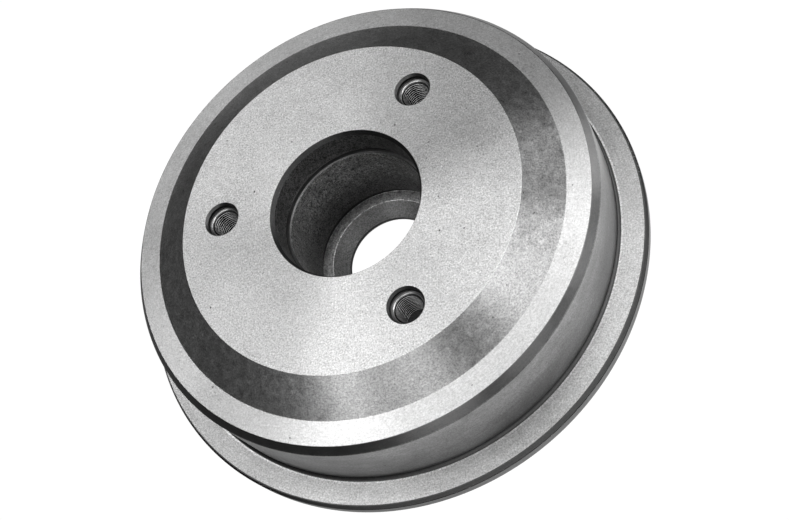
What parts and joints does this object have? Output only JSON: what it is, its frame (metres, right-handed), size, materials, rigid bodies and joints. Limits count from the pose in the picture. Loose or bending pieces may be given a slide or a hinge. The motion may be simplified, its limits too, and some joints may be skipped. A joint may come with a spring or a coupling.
{
  "type": "brake drum",
  "caption": "Cast-iron brake drum with an integral hub: a stepped web, a pot for the brake shoes, a bearing bore and tapped wheel bolt holes.",
  "frame": {"origin": "centre of the wheel face, where the drum's axis meets it", "axes": "+Z along the drum's axis, out of the wheel face towards the wheel; +X through one wheel bolt hole"},
  "size_m": [0.222, 0.222, 0.06],
  "materials": {
    "cast_iron": "as cast on the outer wall and inside the pot, finely turned on the wheel face, the flange and the bores"
  },
  "bodies": {
    "root": {"brake_drum": "cast_iron"}
  },
  "joints": []
}
